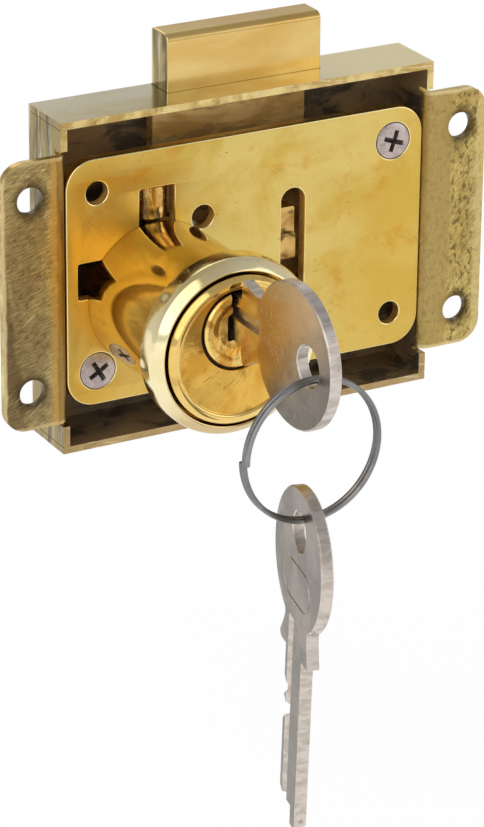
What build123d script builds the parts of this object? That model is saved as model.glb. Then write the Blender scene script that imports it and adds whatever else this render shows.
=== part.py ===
from build123d import *
import math
import os

os.makedirs("parts", exist_ok=True)

# Frame: X to the right, Z up, the front faces -Y. The origin is the centre of the four ear
# holes on the plane of the ears' front faces. Lengths are in millimetres.

# Case, folded from sheet
sheet = 1.2
case_w = 69.0
case_h = 57.0
case_d = 12.5
back_inside = case_d - sheet
fold_r = 0.7
ear_span = 90.0
ear_h = 46.0
ear_r = 4.0
ear_hole_r = 2.25
hole_pitch_x = 80.0
hole_pitch_z = 33.0

# Cap plate, recessed in the case
plate_w = 66.4
plate_h = 42.5
plate_front = 1.0
plate_back = 3.0
plate_r = 5.0
corner_x = 27.6
corner_z = 15.4
stop_r = 3.05
stop_front = 1.3

# Cylinder: the plug turns on (plug_x, 0), the barrel's own axis lies lower
plug_x = -16.7
barrel_z = -3.7
barrel_r = 12.5
neck_r = 12.1
neck_back = 4.4
face_y = -27.3
plug_r = 6.4
plug_clear = 0.05
spigot_r = 3.0
spigot_flat = 2.3
cam_front = 4.65
cam_back = 6.45

# Pin stacks under the plug
pin_r = 1.45
chamber_r = 1.5
pin_insets = [5.4, 9.2, 13.0, 16.8, 20.6]
cut_depths = [1.2, 1.6, 0.0, 0.0, 0.0]
crest_z = -1.8
shear_z = -6.2

# Bolt and its drive
bolt_left = -12.5
bolt_right = 16.0
bolt_front = 5.6
bolt_back = back_inside - 0.1
bolt_top = 38.2
throw = 9.5
tail_front = bolt_back - 2.15
drive_r = throw / math.sqrt(2)
drive_x = plug_x + drive_r * math.cos(math.radians(45))
drive_z = drive_r * math.sin(math.radians(45))
drive_pin_r = 1.48
stud_x = 8.0
stud_w = 3.0
stud_low = -2.3
stud_high = 6.6
slot_x = 8.6
slot_w = 4.4

# Rose ring on the barrel
rose_r = 14.9
rose_back = -21.1
rose_edge = -24.5
rose_front = -26.4

# Keys; u runs from the plug's face along the blade, z is across it
key_t = 2.05
blade_top = 5.9
blade_end = 27.6
bow_u = -17.9
bow_z = 2.3
bow_r = 11.8
eye_u = -22.7
shoulder_u = -2.0
eye_r = 3.3

# Split ring
wire_r = 0.43
ring_r = 11.72
ring_pitch = 0.9
ring_hang = 2.3
spare_hang = 2.1
spare_yaw = -12.0
spare_tilt = 1.6
spare_x = -0.7


def front(y):
    """Sketch plane facing the front at depth y; extrude(amount=-d) runs backward by d."""
    return Plane.XZ.offset(-y)


def save(builder, name):
    builder.part.label = name
    export_step(builder.part, f"parts/{name}.step")


# Case: folded box with outward ears
with BuildPart() as case:
    with Locations((0, 0, 0)):
        Box(case_w, case_d, case_h, align=(Align.CENTER, Align.MIN, Align.CENTER))
    back_face = case.faces().sort_by(Axis.Y)[-1]
    fillet(back_face.edges(), 1.3)
    Box(
        case_w - 2 * sheet,
        back_inside,
        case_h - 2 * sheet,
        align=(Align.CENTER, Align.MIN, Align.CENTER),
        mode=Mode.SUBTRACT,
    )
    # ears, with the corners away from the case rounded
    with BuildSketch(front(0)):
        RectangleRounded(ear_span, ear_h, ear_r)
        Rectangle(case_w - 2 * sheet, ear_h + 1, mode=Mode.SUBTRACT)
        with GridLocations(hole_pitch_x, hole_pitch_z, 2, 2):
            Circle(ear_hole_r, mode=Mode.SUBTRACT)
    extrude(amount=-sheet)
    # relief notches where an ear is folded away from its wall
    for side in (-1, 1):
        for end in (-1, 1):
            with Locations((side * (case_w - sheet) / 2, 0, end * (ear_h / 2 + 0.35))):
                Box(
                    sheet + 0.5,
                    4.6,
                    0.7,
                    align=(Align.CENTER, Align.CENTER, Align.CENTER),
                    mode=Mode.SUBTRACT,
                )
    # the folds themselves, one radius inside and one sheet more outside
    outer_folds = (
        case.edges()
        .filter_by(Axis.Z)
        .filter_by_position(Axis.Y, -0.01, 0.01)
        .filter_by(lambda e: abs(e.length - ear_h) < 0.01)
        .filter_by(lambda e: abs(abs(e.center().X) - (case_w / 2 - sheet)) < 0.01)
    )
    fillet(outer_folds, fold_r + sheet)
    inner_folds = (
        case.edges()
        .filter_by(Axis.Z)
        .filter_by_position(Axis.Y, sheet - 0.01, sheet + 0.01)
        .filter_by(lambda e: abs(abs(e.center().X) - case_w / 2) < 0.01)
    )
    fillet(inner_folds, fold_r)
    # seams where the side walls meet the top and bottom walls
    for side in (-1, 1):
        for end in (-1, 1):
            with Locations((side * case_w / 2, 0, end * (case_h / 2 - sheet))):
                Box(
                    0.3,
                    case_d - 1.6,
                    0.14,
                    align=(Align.CENTER, Align.MIN, Align.CENTER),
                    mode=Mode.SUBTRACT,
                )
    # way out for the bolt head, up to the back plate's inner face
    with Locations(((bolt_left + bolt_right) / 2, bolt_front - 0.1, case_h / 2)):
        Box(
            bolt_right - bolt_left + 0.2,
            back_inside - bolt_front + 0.1,
            4 * sheet,
            align=(Align.CENTER, Align.MIN, Align.CENTER),
            mode=Mode.SUBTRACT,
        )
    # rivet holes of the two posts, and of the stop block
    with BuildSketch(front(back_inside - 0.5)):
        with Locations((corner_x, corner_z), (-corner_x, -corner_z)):
            Circle(1.65)
        with Locations((plug_x, 12.4)):
            Circle(1.25)
    extrude(amount=-(sheet + 1), mode=Mode.SUBTRACT)
save(case, "case")


# Cap plate
with BuildPart() as cap_plate:
    with BuildSketch(front(plate_front)):
        RectangleRounded(plate_w, plate_h, plate_r)
        with Locations((plug_x, barrel_z)):
            Circle(neck_r + 0.05, mode=Mode.SUBTRACT)
        # notch above the barrel and notch at its left, both on the plug's axis
        with Locations((plug_x, 10.6)):
            RectangleRounded(6.4, 8.0, 0.5, mode=Mode.SUBTRACT)
        with Locations((plug_x - 11.15, 0.6)):
            RectangleRounded(6.4, 6.2, 0.5, mode=Mode.SUBTRACT)
        with Locations((-corner_x, corner_z), (corner_x, -corner_z)):
            Circle(1.95, mode=Mode.SUBTRACT)
        with Locations((corner_x, corner_z), (-corner_x, -corner_z)):
            Circle(1.75, mode=Mode.SUBTRACT)
        with Locations((-8.3, 8.1)):
            Circle(2.0, mode=Mode.SUBTRACT)
        with Locations((slot_x, -1.8)):
            SlotOverall(24.0, slot_w, rotation=90, mode=Mode.SUBTRACT)
    extrude(amount=-(plate_back - plate_front))
    # countersinks of the two cap screws
    for x, z in ((corner_x, corner_z), (-corner_x, -corner_z)):
        with BuildSketch(Plane.XY.offset(z)):
            with BuildLine():
                Polyline(
                    (x, plate_front - 0.1),
                    (x + 3.35, plate_front - 0.1),
                    (x + 3.25, plate_front),
                    (x + 1.75, plate_front + 1.5),
                    (x, plate_front + 1.5),
                    close=True,
                )
            make_face()
        revolve(axis=Axis((x, 0, z), (0, 1, 0)), mode=Mode.SUBTRACT)
    rim = cap_plate.faces().sort_by(Axis.Y)[0].outer_wire().edges()
    fillet(rim, 0.35)
save(cap_plate, "cap_plate")


# Posts, riveted through the back plate, tapped for the cap screws
for name, x, z in (
    ("post_upper", corner_x, corner_z),
    ("post_lower", -corner_x, -corner_z),
):
    with BuildPart() as post:
        with BuildSketch(front(plate_back)):
            with Locations((x, z)):
                Circle(2.75)
                Circle(1.5, mode=Mode.SUBTRACT)
        extrude(amount=-5.0)
        with BuildSketch(front(plate_back + 5.0)):
            with Locations((x, z)):
                Circle(2.75)
        extrude(amount=-(back_inside - plate_back - 5.0))
        with BuildSketch(front(back_inside)):
            with Locations((x, z)):
                Circle(1.6)
        extrude(amount=-sheet)
    save(post, name)


# Cap screws: raised countersunk head, cross recess
for name, x, z in (
    ("cap_screw_upper", corner_x, corner_z),
    ("cap_screw_lower", -corner_x, -corner_z),
):
    with BuildPart() as cap_screw:
        with BuildSketch(Plane.XY.offset(z)):
            with BuildLine():
                Line((x, plate_front - 0.3), (x + 0.9, plate_front - 0.3))
                RadiusArc((x + 0.9, plate_front - 0.3), (x + 3.15, plate_front + 0.05), 10.0)
                Polyline(
                    (x + 3.15, plate_front + 0.05),
                    (x + 1.42, plate_front + 1.62),
                    (x + 1.42, plate_back + 3.6),
                    (x + 1.0, plate_back + 4.2),
                    (x, plate_back + 4.2),
                    (x, plate_front - 0.3),
                )
            make_face()
        revolve(axis=Axis((x, 0, z), (0, 1, 0)))
        with BuildSketch(front(plate_front - 0.5)):
            with Locations((x, z)):
                Rectangle(3.6, 0.8)
                Rectangle(0.8, 3.6)
        extrude(amount=-1.5, taper=12, mode=Mode.SUBTRACT)
    save(cap_screw, name)


# Cylinder body: polished barrel, neck through the plate, clip groove, bore, pin chambers
with BuildPart() as cylinder_body:
    with BuildSketch(Plane.XY.offset(barrel_z)):
        with BuildLine():
            Polyline(
                (plug_x, face_y + 0.35),
                (plug_x + 10.6, face_y + 0.35),
                (plug_x + 10.95, face_y),
                (plug_x + 11.7, face_y),
                (plug_x + barrel_r, face_y + 0.8),
                (plug_x + barrel_r, plate_front),
                (plug_x + neck_r, plate_front),
                (plug_x + neck_r, plate_back + 0.02),
                (plug_x + 11.2, plate_back + 0.02),
                (plug_x + 11.2, plate_back + 1.0),
                (plug_x + neck_r, plate_back + 1.0),
                (plug_x + neck_r, neck_back),
                (plug_x, neck_back),
                close=True,
            )
        make_face()
    revolve(axis=Axis((plug_x, 0, barrel_z), (0, 1, 0)))
    with BuildSketch(front(face_y - 1)):
        with Locations((plug_x, 0)):
            Circle(plug_r + plug_clear)
    extrude(amount=-40, mode=Mode.SUBTRACT)
    with BuildSketch(front(face_y - 1)):
        with Locations((plug_x, 0)):
            Circle(plug_r + 0.4)
    extrude(amount=-1.9, mode=Mode.SUBTRACT)
    for inset in pin_insets:
        with BuildSketch(Plane.XY.offset(-17)):
            with Locations((plug_x, face_y + inset)):
                Circle(chamber_r)
        extrude(amount=12, mode=Mode.SUBTRACT)
save(cylinder_body, "cylinder_body")


# Retaining clip behind the plate, open where the two notches are
with BuildPart() as retaining_clip:
    with BuildSketch(front(plate_back + 0.05)):
        with Locations((plug_x, barrel_z)):
            Circle(13.1)
            Circle(11.25, mode=Mode.SUBTRACT)
        with BuildLine():
            Polyline(
                (plug_x, barrel_z),
                (plug_x + 8.8, barrel_z + 18.0),
                (plug_x - 8.0, barrel_z + 24.0),
                (plug_x - 24.0, barrel_z + 12.0),
                (plug_x - 18.0, barrel_z - 8.8),
                close=True,
            )
        make_face(mode=Mode.SUBTRACT)
    extrude(amount=-0.9)
save(retaining_clip, "retaining_clip")


# Stop block in the upper notch: half-round front, riveted to the back plate
with BuildPart() as stop_block:
    with BuildSketch(Plane.XY.offset(9.0)):
        with Locations((plug_x, stop_front + stop_r)):
            Circle(stop_r)
        with Locations((plug_x, (stop_front + stop_r + back_inside) / 2)):
            Rectangle(2 * stop_r, back_inside - stop_front - stop_r)
    extrude(amount=5.45)
    with BuildSketch(front(back_inside)):
        with Locations((plug_x, 12.4)):
            Circle(1.2)
    extrude(amount=-sheet)
save(stop_block, "stop_block")


# Rose ring: bevelled front, close bore at the back, relieved bore at the front
with BuildPart() as rose_ring:
    with BuildSketch(Plane.XY.offset(barrel_z)):
        with BuildLine():
            Polyline(
                (plug_x + barrel_r + 0.06, rose_back),
                (plug_x + rose_r - 0.3, rose_back),
                (plug_x + rose_r, rose_back - 0.3),
                (plug_x + rose_r, rose_edge),
            )
            ThreePointArc(
                (plug_x + rose_r, rose_edge),
                (plug_x + 14.35, -25.75),
                (plug_x + 13.2, rose_front),
            )
            Polyline(
                (plug_x + 13.2, rose_front),
                (plug_x + 12.95, rose_front + 0.15),
                (plug_x + 12.95, rose_front + 2.4),
                (plug_x + barrel_r + 0.06, rose_front + 2.7),
                (plug_x + barrel_r + 0.06, rose_back),
            )
        make_face()
    revolve(axis=Axis((plug_x, 0, barrel_z), (0, 1, 0)))
save(rose_ring, "rose_ring")


# Blade section, (x, z) from the plug's axis: a groove on each side makes it zig-zag
left_groove = [(-1.6, 4.6), (-1.0, 4.3), (-0.25, 3.9), (-0.25, 2.3), (-1.0, 1.9), (-1.6, 1.6)]
right_groove = [(1.6, 1.9), (1.0, 1.6), (0.3, 1.2), (0.3, -0.3), (1.0, -0.7), (1.6, -1.0)]
keyway = [
    (-1.14, 7.2),
    (-1.14, 4.24),
    (-0.37, 3.84),
    (-0.37, 2.36),
    (-1.14, 1.96),
    (-1.14, -1.92),
    (1.14, -1.92),
    (1.14, -0.64),
    (0.42, -0.24),
    (0.42, 1.14),
    (1.14, 1.54),
    (1.14, 7.2),
]


# Plug: keyway open at the top, pin bores below it, tail with a flat for the cam
with BuildPart() as plug:
    with BuildSketch(Plane.XY):
        with BuildLine():
            Polyline(
                (plug_x, face_y + 1.1),
                (plug_x + 3.3, face_y + 1.0),
                (plug_x + 4.9, face_y + 0.1),
                (plug_x + 5.5, face_y),
                (plug_x + plug_r, face_y + 0.35),
                (plug_x + plug_r, cam_front - 0.1),
                (plug_x + spigot_r, cam_front - 0.1),
                (plug_x + spigot_r, cam_back + 0.05),
                (plug_x + 2.4, cam_back + 0.05),
                (plug_x + 2.4, cam_back + 0.65),
                (plug_x + spigot_r, cam_back + 0.65),
                (plug_x + spigot_r, 7.3),
                (plug_x, 7.3),
                close=True,
            )
        make_face()
    revolve(axis=Axis((plug_x, 0, 0), (0, 1, 0)))
    with BuildSketch(front(face_y - 1)):
        with BuildLine():
            Polyline(*[(plug_x + x, z) for x, z in keyway], close=True)
        make_face()
    extrude(amount=-(blade_end + 1.03), mode=Mode.SUBTRACT)
    for inset in pin_insets:
        with BuildSketch(Plane.XY.offset(-7)):
            with Locations((plug_x, face_y + inset)):
                Circle(chamber_r)
        extrude(amount=7.2, mode=Mode.SUBTRACT)
    # flat on the tail
    with Locations((plug_x + spigot_flat, cam_front - 0.1, 0)):
        Box(4, 6, 8, align=(Align.MIN, Align.MIN, Align.CENTER), mode=Mode.SUBTRACT)
save(plug, "plug")


# Pin stacks: key pin in the plug, driver, spring and closing plug in the body
driver_top = -plug_r - 0.08
driver_low = driver_top - 3.0
closer_top = -14.7
for index, (inset, depth) in enumerate(zip(pin_insets, cut_depths), start=1):
    y = face_y + inset
    tip = crest_z + depth - 0.03
    with BuildPart() as key_pin:
        with BuildSketch(Plane.XZ.offset(-y)):
            with BuildLine():
                Polyline(
                    (plug_x, shear_z),
                    (plug_x + pin_r - 0.15, shear_z),
                    (plug_x + pin_r, shear_z + 0.15),
                    (plug_x + pin_r, tip - 0.95),
                    (plug_x + 0.5, tip),
                    (plug_x, tip),
                    close=True,
                )
            make_face()
        revolve(axis=Axis((plug_x, y, 0), (0, 0, 1)))
    save(key_pin, f"key_pin_{index}")

    with BuildPart() as driver_pin:
        with BuildSketch(Plane.XY.offset(driver_low)):
            with Locations((plug_x, y)):
                Circle(pin_r)
        extrude(amount=driver_top - driver_low)
        chamfer(driver_pin.edges().filter_by(GeomType.CIRCLE), 0.2)
    save(driver_pin, f"driver_pin_{index}")

    with BuildPart() as pin_spring:
        with BuildLine() as coil:
            Helix(
                pitch=1.15,
                height=4.6,
                radius=1.1,
                center=(plug_x, y, closer_top + 0.25),
            )
        with BuildSketch(Plane(origin=coil.line @ 0, z_dir=coil.line % 0)):
            RegularPolygon(0.2, 6)
        sweep(is_frenet=True)
    save(pin_spring, f"pin_spring_{index}")

    with BuildPart() as chamber_plug:
        with BuildSketch(Plane.XY.offset(-16.0)):
            with Locations((plug_x, y)):
                Circle(chamber_r - 0.01)
        extrude(amount=closer_top + 16.0)
    save(chamber_plug, f"chamber_plug_{index}")


# Cam on the plug's tail, its drive pin and its clip
with BuildPart() as cam:
    with BuildSketch(front(cam_front)):
        with Locations((plug_x, 0)):
            Circle(4.6)
        with Locations((drive_x, drive_z)):
            Circle(2.8)
        # flanks of the arm, tangent to both circles
        hub = 4.6 * math.sqrt(0.5)
        tip = 2.8 * math.sqrt(0.5)
        with BuildLine():
            Polyline(
                (plug_x - hub, hub),
                (drive_x - tip, drive_z + tip),
                (drive_x + tip, drive_z - tip),
                (plug_x + hub, -hub),
                close=True,
            )
        make_face()
        with Locations((drive_x, drive_z)):
            Circle(1.5, mode=Mode.SUBTRACT)
    extrude(amount=-(cam_back - cam_front))
    with BuildSketch(front(cam_front - 0.5)):
        with Locations((plug_x, 0)):
            Circle(spigot_r + 0.03)
        with Locations((plug_x + spigot_flat + 0.03, 0)):
            Rectangle(4, 8, align=(Align.MIN, Align.CENTER), mode=Mode.SUBTRACT)
    extrude(amount=-(cam_back - cam_front + 1), mode=Mode.SUBTRACT)
save(cam, "cam")

with BuildPart() as drive_pin:
    with BuildSketch(front(cam_front)):
        with Locations((drive_x, drive_z)):
            Circle(drive_pin_r)
    extrude(amount=-(bolt_back - 0.1 - cam_front))
    chamfer(drive_pin.faces().sort_by(Axis.Y)[-1].edges(), 0.25)
save(drive_pin, "drive_pin")

with BuildPart() as cam_clip:
    with BuildSketch(front(cam_back + 0.07)):
        with Locations((plug_x, 0)):
            Circle(4.3)
            Circle(2.43, mode=Mode.SUBTRACT)
        with Locations((plug_x - 3.4, 0)):
            Rectangle(4.5, 3.2, mode=Mode.SUBTRACT)
    extrude(amount=-0.56)
save(cam_clip, "cam_clip")


# Bolt: thick head above the case, thinner tail along the back plate
with BuildPart() as bolt:
    with Locations(((bolt_left + bolt_right) / 2, bolt_front, 27.0)):
        Box(
            bolt_right - bolt_left,
            bolt_back - bolt_front,
            bolt_top - 27.0,
            align=(Align.CENTER, Align.MIN, Align.MIN),
        )
    # wide round along the top's front edge, small ones elsewhere
    top_long = bolt.faces().sort_by(Axis.Z)[-1].edges().filter_by(Axis.X).sort_by(Axis.Y)
    fillet(top_long[0], 1.3)
    fillet(top_long[-1], 0.6)
    front_upright = bolt.faces().sort_by(Axis.Y)[0].edges().filter_by(Axis.Z)
    fillet(front_upright, 0.3)
    with BuildSketch(front(tail_front)):
        with Locations((0.8, 9.0)):
            Rectangle(28.4, 36.0)
        with Locations((-14.35, 4.7)):
            Rectangle(1.9, 8.4)
        with Locations((-10.95, drive_z)):
            SlotOverall(5.6, 3.52, mode=Mode.SUBTRACT)
        with Locations((stud_x, 2.6)):
            Circle(1.5, mode=Mode.SUBTRACT)
    extrude(amount=-(bolt_back - tail_front))
    low_corners = (
        bolt.edges()
        .filter_by(Axis.Y)
        .filter_by(lambda e: abs(e.center().Z + 9.0) < 0.01)
    )
    fillet(low_corners, 2.0)
save(bolt, "bolt")

with BuildPart() as bolt_stud:
    with BuildSketch(front(2.2)):
        with Locations((stud_x, (stud_low + stud_high) / 2)):
            RectangleRounded(stud_w, stud_high - stud_low, 0.4)
    extrude(amount=-(tail_front - 2.2))
    with BuildSketch(front(1.7)):
        with Locations((stud_x, stud_low + 2.2)):
            RectangleRounded(stud_w, 4.4, 0.4)
    extrude(amount=-0.6)
    with BuildSketch(front(tail_front)):
        with Locations((stud_x, 2.6)):
            Circle(1.48)
    extrude(amount=-(bolt_back - tail_front))
save(bolt_stud, "bolt_stud")


# Key, built with the plug's face at the origin and its blade along +Y; its tip stops it
with BuildPart() as key_blank:
    with BuildSketch(Plane.YZ):
        with Locations((bow_u, bow_z)):
            Circle(bow_r)
        with BuildLine():
            Polyline(
                (-9.0, blade_top),
                (27.0, blade_top),
                (blade_end, blade_top - 0.6),
                (blade_end, 3.7),
                (24.4, 3.7),
                (24.4, 0.3),
                (24.05, -0.8),
                (23.4, -1.5),
                (22.8, crest_z),
                (-9.0, crest_z),
                close=True,
            )
        make_face()
        # shoulder on the spine side, with a sloping top
        with BuildLine():
            Polyline(
                (shoulder_u, 5.0),
                (shoulder_u, 9.0),
                (-6.0, 8.1),
                (-9.0, 8.1),
                (-9.0, 5.0),
                close=True,
            )
        make_face()
        # flared lobe on the bitting side
        with BuildLine():
            Polyline((-9.0, 0.0), (-9.0, -3.4), (-6.9, -2.7))
            ThreePointArc((-6.9, -2.7), (-5.0, -3.6), (-3.2, -4.8))
            ThreePointArc((-3.2, -4.8), (-2.2, -4.7), (shoulder_u + 0.2, -3.9))
            Polyline((shoulder_u + 0.2, -3.9), (shoulder_u + 0.2, 0.0), (-9.0, 0.0))
        make_face()
        for inset, depth in zip(pin_insets, cut_depths):
            if depth > 0:
                with BuildLine():
                    Polyline(
                        (inset - 0.6 - depth - 0.5, crest_z - 0.5),
                        (inset - 0.6, crest_z + depth),
                        (inset + 0.6, crest_z + depth),
                        (inset + 0.6 + depth + 0.5, crest_z - 0.5),
                        close=True,
                    )
                make_face(mode=Mode.SUBTRACT)
        with Locations((eye_u, bow_z)):
            Circle(eye_r, mode=Mode.SUBTRACT)
    extrude(amount=key_t / 2, both=True)
    # milled grooves that run out in the neck
    for groove in (left_groove, right_groove):
        with BuildSketch(Plane.XZ.offset(7.5)):
            with BuildLine():
                Polyline(*groove, close=True)
            make_face()
        extrude(amount=-(blade_end + 9), mode=Mode.SUBTRACT)
    # bare oval plate on the side that faces out on the spare key
    with BuildSketch(Plane.YZ.offset(key_t / 2 - 0.12)):
        with Locations((-13.8, bow_z)):
            SlotOverall(13.0, 6.8, rotation=90)
            SlotOverall(12.2, 6.0, rotation=90, mode=Mode.SUBTRACT)
    extrude(amount=0.5, mode=Mode.SUBTRACT)
    bow_rims = (
        key_blank.edges()
        .filter_by(GeomType.CIRCLE)
        .filter_by(lambda e: abs(e.radius - bow_r) < 0.01 and e.length > 20)
    )
    chamfer(bow_rims, 0.25)
    eye_rims = (
        key_blank.edges()
        .filter_by(GeomType.CIRCLE)
        .filter_by(lambda e: abs(e.radius - eye_r) < 0.01)
    )
    chamfer(eye_rims, 0.2)

with BuildPart() as key_inserted:
    add(key_blank.part.moved(Location((plug_x, face_y, 0))))
save(key_inserted, "key_inserted")


# Split ring: two turns of round wire, ends at the left, hanging in the inserted key's eye
eye_y = face_y + eye_u
ring_y = eye_y + 0.25 * ring_pitch
wire_z = bow_z - ring_hang
ring_z = wire_z - ring_r
ring_plane = Plane(
    origin=(plug_x, ring_y - ring_pitch, ring_z), x_dir=(-1, 0, 0), z_dir=(0, 1, 0)
)
with BuildPart() as ring_coil:
    with BuildLine() as turns:
        Helix(pitch=ring_pitch, height=2 * ring_pitch, radius=ring_r)
    with BuildSketch(Plane(origin=turns.line @ 0, z_dir=turns.line % 0)):
        RegularPolygon(wire_r, 16)
    sweep(is_frenet=True)

with BuildPart() as split_ring:
    add(ring_coil.part.moved(ring_plane.location))
save(split_ring, "split_ring")


# Spare key: the same key turned tip down with its other side out, hanging on the ring
hang_y = ring_y + 0.25 * ring_pitch
hang_z = ring_z - ring_r
with BuildPart() as key_spare:
    turned = key_blank.part.moved(Location((0, -eye_u, -bow_z)))
    turned = turned.rotate(Axis((0, 0, 0), (0, 1, -1)), 180)
    turned = turned.rotate(Axis.Z, spare_yaw).rotate(Axis.Y, spare_tilt)
    add(turned.moved(Location((plug_x + spare_x, hang_y, hang_z - spare_hang))))
save(key_spare, "key_spare")
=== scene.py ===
import math
import bmesh
import bpy
from mathutils import Matrix, Vector


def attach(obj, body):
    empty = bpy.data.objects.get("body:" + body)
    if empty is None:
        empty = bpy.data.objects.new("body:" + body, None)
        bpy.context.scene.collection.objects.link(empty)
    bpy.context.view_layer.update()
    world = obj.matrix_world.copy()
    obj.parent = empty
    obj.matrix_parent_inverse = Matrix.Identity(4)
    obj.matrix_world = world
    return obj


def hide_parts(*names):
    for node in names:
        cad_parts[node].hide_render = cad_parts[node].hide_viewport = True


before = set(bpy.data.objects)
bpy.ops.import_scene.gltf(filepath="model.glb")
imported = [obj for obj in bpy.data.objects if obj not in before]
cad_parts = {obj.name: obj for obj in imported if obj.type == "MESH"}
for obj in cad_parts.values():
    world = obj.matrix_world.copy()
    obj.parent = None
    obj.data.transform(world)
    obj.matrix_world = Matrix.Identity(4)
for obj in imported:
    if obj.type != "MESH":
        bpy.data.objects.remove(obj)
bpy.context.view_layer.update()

scene = bpy.context.scene
mm = 0.001
print("frame loaded:", len(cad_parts), "nodes")


# small tools for meshes; profiles and outlines are in millimetres, meshes in metres
def cleanMesh(mesh, weldReach=2e-7):
    bm = bmesh.new()
    bm.from_mesh(mesh)
    bmesh.ops.remove_doubles(bm, verts=bm.verts, dist=weldReach)
    bmesh.ops.recalc_face_normals(bm, faces=bm.faces)
    bm.to_mesh(mesh)
    bm.free()
    return mesh


def shadeByAngle(mesh, degrees):
    mesh.polygons.foreach_set("use_smooth", [True] * len(mesh.polygons))
    mesh.set_sharp_from_angle(angle=math.radians(degrees))
    return mesh


def linkedObject(label, data):
    thing = bpy.data.objects.new(label, data)
    scene.collection.objects.link(thing)
    return thing


def bakeDown(thing):
    # the mesh with all modifiers applied; the helper object goes away
    bpy.context.view_layer.update()
    graph = bpy.context.evaluated_depsgraph_get()
    mesh = bpy.data.meshes.new_from_object(thing.evaluated_get(graph))
    bpy.data.objects.remove(thing)
    return mesh


def addPiece(pieceName, mesh, body, node, finishNames, choose=None):
    # choose says which finish a face gets, from the face and its middle in millimetres
    piece = linkedObject(pieceName, mesh)
    mesh.name = pieceName
    if choose:
        for face in mesh.polygons:
            middle = tuple(c / mm for c in face.center)
            face.material_index = finishNames.index(choose(face, *middle))
    # clearing the materials forgets which face has which, so that is kept and written back
    choices = [face.material_index for face in mesh.polygons]
    mesh.materials.clear()
    for finishName in finishNames:
        mesh.materials.append(finishes[finishName])
    mesh.polygons.foreach_set("material_index", choices)
    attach(piece, body)
    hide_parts(node)


def softenCorners(points, radius, steps, closed=True):
    # each corner becomes a short curve that takes at most sideShare of either side
    sideShare = 0.4
    soft = []
    last = len(points) - 1
    for i, point in enumerate(points):
        if not closed and i in (0, last):
            soft.append(point)
            continue
        before = Vector(points[i - 1])
        here = Vector(point)
        after = Vector(points[(i + 1) % len(points)])
        reach = min(radius, sideShare * (before - here).length, sideShare * (after - here).length)
        start = here + (before - here).normalized() * reach
        end = here + (after - here).normalized() * reach
        for s in range(steps + 1):
            t = s / steps
            soft.append(tuple(start * (1 - t) ** 2 + here * (2 * t * (1 - t)) + end * t * t))
    return soft


def loftCircles(circles, count, closed=True):
    # a circle is centre x, centre z, radius and y; neighbours are joined by quads
    verts, faces = [], []
    for cx, cz, radius, y in circles:
        for k in range(count):
            angle = 2 * math.pi * k / count
            x, z = cx + radius * math.cos(angle), cz + radius * math.sin(angle)
            verts.append((x * mm, y * mm, z * mm))
    for i in range(len(circles) if closed else len(circles) - 1):
        j = (i + 1) % len(circles)
        for k in range(count):
            m = (k + 1) % count
            faces.append((i * count + k, i * count + m, j * count + m, j * count + k))
    if not closed:
        faces.append(tuple(range(count)))
        faces.append(tuple(range((len(circles) - 1) * count, len(circles) * count)))
    mesh = bpy.data.meshes.new("lofted")
    mesh.from_pydata(verts, [], faces)
    return cleanMesh(mesh)


def turnedSolid(look, cx, cz):
    # a solid turned about an axis along Y, from a profile of radius and y
    profile = softenCorners(look["profile"], look["cornerRound"], look["roundSteps"], False)
    return loftCircles([(cx, cz, r, y) for r, y in profile], look["segments"], False)


def prism(outline, yFront, yBack, backScale=1.0, centre=(0, 0)):
    count = len(outline)
    verts = [(x * mm, yFront * mm, z * mm) for x, z in outline]
    for x, z in outline:
        bx = centre[0] + (x - centre[0]) * backScale
        bz = centre[1] + (z - centre[1]) * backScale
        verts.append((bx * mm, yBack * mm, bz * mm))
    faces = [tuple(range(count)), tuple(range(count, 2 * count))]
    faces += [(k, (k + 1) % count, count + (k + 1) % count, count + k) for k in range(count)]
    mesh = bpy.data.meshes.new("prism")
    mesh.from_pydata(verts, [], faces)
    return cleanMesh(mesh)


def cutAway(mesh, cutters):
    thing = linkedObject("blank", mesh)
    tools = [linkedObject("cutter", cutter) for cutter in cutters]
    for tool in tools:
        step = thing.modifiers.new("cut", "BOOLEAN")
        step.operation = "DIFFERENCE"
        step.solver = "EXACT"
        step.object = tool
    result = bakeDown(thing)
    for tool in tools:
        bpy.data.objects.remove(tool)
    return result


def circleOutline(cx, cz, radius, count=72, start=0.0, sweep=360.0):
    closed = sweep == 360.0
    points = []
    for k in range(count if closed else count + 1):
        angle = math.radians(start + sweep * k / count)
        points.append((cx + radius * math.cos(angle), cz + radius * math.sin(angle)))
    return points


def roundedBox(cx, cz, width, height, radius, count):
    points = []
    for sx, sz, start in ((1, 1, 0), (-1, 1, 90), (-1, -1, 180), (1, -1, 270)):
        x = cx + sx * (width / 2 - radius)
        z = cz + sz * (height / 2 - radius)
        points += circleOutline(x, z, radius, count, start, 90.0)
    return points


def sheetFromOutlines(outlines, yFront, yBack, edge):
    # flat stock with its holes and softly rounded edges
    curve = bpy.data.curves.new("stock", "CURVE")
    curve.dimensions = "2D"
    curve.fill_mode = "BOTH"
    for outline in outlines:
        spline = curve.splines.new("POLY")
        spline.points.add(len(outline) - 1)
        for point, (x, z) in zip(spline.points, outline):
            point.co = (x * mm, z * mm, 0, 1)
        spline.use_cyclic_u = True
    curve.extrude = ((yBack - yFront) / 2 - edge) * mm
    curve.bevel_depth = edge * mm
    curve.bevel_resolution = 2
    curve.offset = -edge * mm
    mesh = bakeDown(linkedObject("stock", curve))
    middle = (yFront + yBack) / 2 * mm
    mesh.transform(Matrix(((1, 0, 0, 0), (0, 0, -1, middle), (0, 1, 0, 0), (0, 0, 0, 1))))
    return cleanMesh(mesh, weldReach=2e-6)


# how a CAD mesh is made ready: reaches in metres, angles between faces in degrees
rounding = {
    "weldReach": 3e-6, "splitReach": 1e-7, "flatBelow": 0.4, "roundAbove": 28, "flatWeight": 60}


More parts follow.
